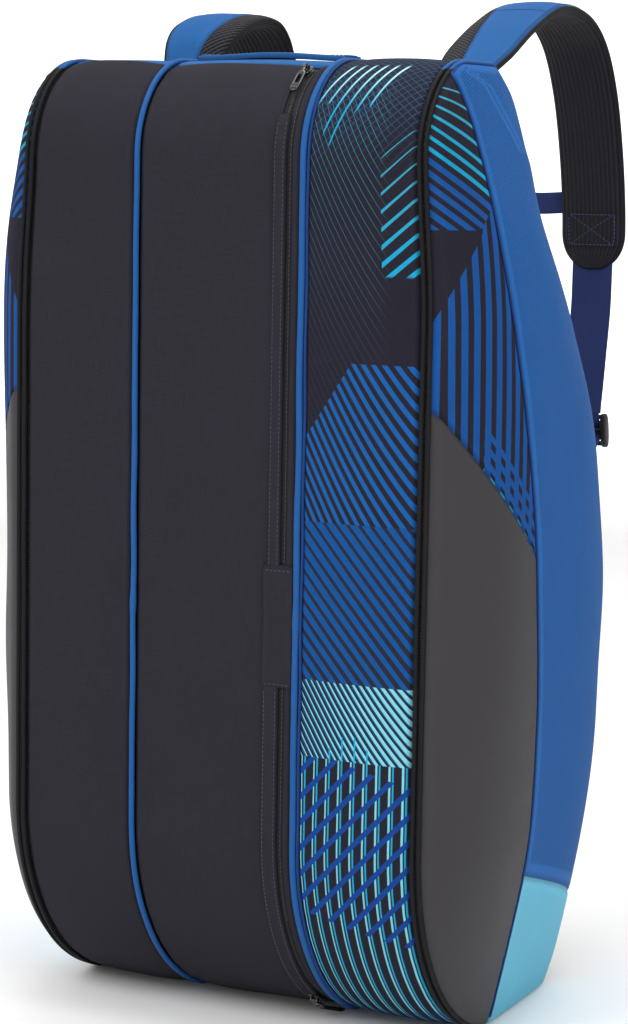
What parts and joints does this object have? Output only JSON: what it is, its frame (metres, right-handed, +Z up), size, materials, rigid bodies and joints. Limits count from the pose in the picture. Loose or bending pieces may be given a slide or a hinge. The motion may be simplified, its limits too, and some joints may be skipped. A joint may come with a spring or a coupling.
{
  "type": "racket tournament bag",
  "caption": "Tall three-compartment racket bag with domed zip-open side covers, piped printed panels, padded shoulder straps and a chest strap, standing on its base.",
  "frame": {"origin": "centre of the flat base, on the floor", "axes": "+X across the compartments towards the printed one, -Y towards the front with the zips, +Y towards the shoulder straps, +Z up"},
  "size_m": [0.4678, 0.5127, 0.8334],
  "materials": {
    "black_fabric": "matt woven polyester",
    "blue_fabric": "fine diagonal rib polyester",
    "blue_piping": "covered cord piping",
    "black_piping": "covered cord piping",
    "printed_fabric": "polyester printed with stripes in blue, cyan and black",
    "grey_coated": "smooth coated fabric with a soft sheen",
    "cyan_fabric": "plain cyan polyester",
    "lining": "quilted lining on foam",
    "air_mesh": "ribbed spacer mesh",
    "navy_webbing": "flat woven webbing",
    "zip_tape": "knitted zip tape with a moulded coil",
    "zip_metal": "gloss black lacquer",
    "black_plastic": "satin acetal",
    "stiff_board": "extruded sheet"
  },
  "bodies": {
    "bag": {"back_panel": "black_fabric", "back_pad": "air_mesh", "top_panel": "blue_fabric", "base_panel": "black_fabric", "base_board": "stiff_board", "divider_left": "lining", "divider_right": "lining", "front_gusset_left": "black_fabric", "front_gusset_right": "printed_fabric", "centre_top_strip": "black_fabric", "centre_bottom_strip": "black_fabric", "centre_side_strip": "black_fabric", "piping_left": "blue_piping", "piping_right": "blue_piping", "piping_right_inner": "navy_webbing", "edge_piping_left": "black_piping", "edge_piping_right": "black_piping", "front_zip": "zip_tape", "side_zip_left": "zip_tape", "side_zip_right": "zip_tape", "zip_end_tab": "black_fabric", "strap_anchor_patch": "black_fabric", "strap_lower_tabs": "black_fabric", "top_handle": "blue_fabric"},
    "middle_flap": {"flap_panel": "black_fabric", "flap_zip": "zip_tape", "zip_cover_flaps": "black_fabric"},
    "upper_slider": {"upper_zip_slider": "zip_metal"},
    "upper_puller": {"upper_zip_puller": "zip_metal"},
    "lower_slider": {"lower_zip_slider": "zip_metal"},
    "lower_puller": {"lower_zip_puller": "zip_metal"},
    "right_cover": {"right_cover_foam": "lining", "right_blue_panel": "blue_fabric", "right_print_panel": "printed_fabric", "right_grey_panel": "grey_coated", "right_corner_panel": "cyan_fabric", "right_face_piping": "blue_piping"},
    "left_cover": {"left_cover_foam": "lining", "left_blue_panel": "blue_fabric", "left_print_panel": "printed_fabric", "left_grey_panel": "grey_coated", "left_corner_panel": "cyan_fabric", "left_face_piping": "blue_piping"},
    "right_slider": {"right_zip_slider": "zip_metal"},
    "right_puller": {"right_zip_puller": "zip_metal"},
    "left_slider": {"left_zip_slider": "zip_metal"},
    "left_puller": {"left_zip_puller": "zip_metal"},
    "right_strap": {"right_strap_pad": "air_mesh", "right_strap_cover": "blue_fabric", "right_strap_webbing": "navy_webbing", "right_ladder_lock": "black_plastic"},
    "left_strap": {"left_strap_pad": "air_mesh", "left_strap_cover": "blue_fabric", "left_strap_webbing": "navy_webbing", "left_ladder_lock": "black_plastic", "chest_strap_left": "navy_webbing", "chest_buckle_socket": "black_plastic"},
    "chest_clip": {"chest_strap_right": "navy_webbing", "chest_buckle_plug": "black_plastic"}
  },
  "joints": [
    {"name": "middle_flap_hinge", "type": "hinge", "parent": "bag", "child": "middle_flap", "pos_m": [-0.0685, -0.21, 0.43], "axis": [0, 0, -1], "range_deg": [0, 75]},
    {"name": "right_cover_hinge", "type": "hinge", "parent": "bag", "child": "right_cover", "pos_m": [0.1763, -0.012, 0.7], "axis": [0, -0.459, 0.8884], "range_deg": [0, 70]},
    {"name": "left_cover_hinge", "type": "hinge", "parent": "bag", "child": "left_cover", "pos_m": [-0.1763, -0.012, 0.7], "axis": [0, 0.459, -0.8884], "range_deg": [0, 70]},
    {"name": "upper_slider_run", "type": "hinge", "parent": "bag", "child": "upper_slider", "pos_m": [0.054, -0.135, 0.695], "axis": [1, 0, 0], "range_deg": [0, 60]},
    {"name": "upper_puller_hinge", "type": "hinge", "parent": "upper_slider", "child": "upper_puller", "pos_m": [0.054, -0.17417, 0.76567], "axis": [-1, 0, 0], "range_deg": [0, 120]},
    {"name": "lower_slider_run", "type": "hinge", "parent": "bag", "child": "lower_slider", "pos_m": [0.054, -0.032, 0.173], "axis": [-1, 0, 0], "range_deg": [0, 57]},
    {"name": "lower_puller_hinge", "type": "hinge", "parent": "lower_slider", "child": "lower_puller", "pos_m": [0.054, -0.1294, 0.01713], "axis": [-1, 0, 0], "range_deg": [0, 45]},
    {"name": "right_slider_run", "type": "slide", "parent": "bag", "child": "right_slider", "axis": [0, -0.0909, -0.9959], "range_m": [0, 0.08]},
    {"name": "right_puller_hinge", "type": "hinge", "parent": "right_slider", "child": "right_puller", "pos_m": [0.1733, 0.1438, 0.25725], "axis": [1, 0, 0], "range_deg": [0, 110]},
    {"name": "left_slider_run", "type": "slide", "parent": "bag", "child": "left_slider", "axis": [0, -0.0909, -0.9959], "range_m": [0, 0.08]},
    {"name": "left_puller_hinge", "type": "hinge", "parent": "left_slider", "child": "left_puller", "pos_m": [-0.1733, 0.1438, 0.25725], "axis": [1, 0, 0], "range_deg": [0, 110]},
    {"name": "right_strap_swing", "type": "hinge", "parent": "bag", "child": "right_strap", "pos_m": [0.12, -0.044, 0.74], "axis": [1, 0, 0], "range_deg": [0, 15]},
    {"name": "left_strap_swing", "type": "hinge", "parent": "bag", "child": "left_strap", "pos_m": [-0.12, -0.044, 0.74], "axis": [1, 0, 0], "range_deg": [0, 15]},
    {"name": "chest_buckle_slide", "type": "slide", "parent": "right_strap", "child": "chest_clip", "axis": [1, 0, 0], "range_m": [0, 0.02]}
  ],
  "couplings": [
    {"joint": "left_strap_swing", "follows": "right_strap_swing", "ratio": 1}
  ]
}
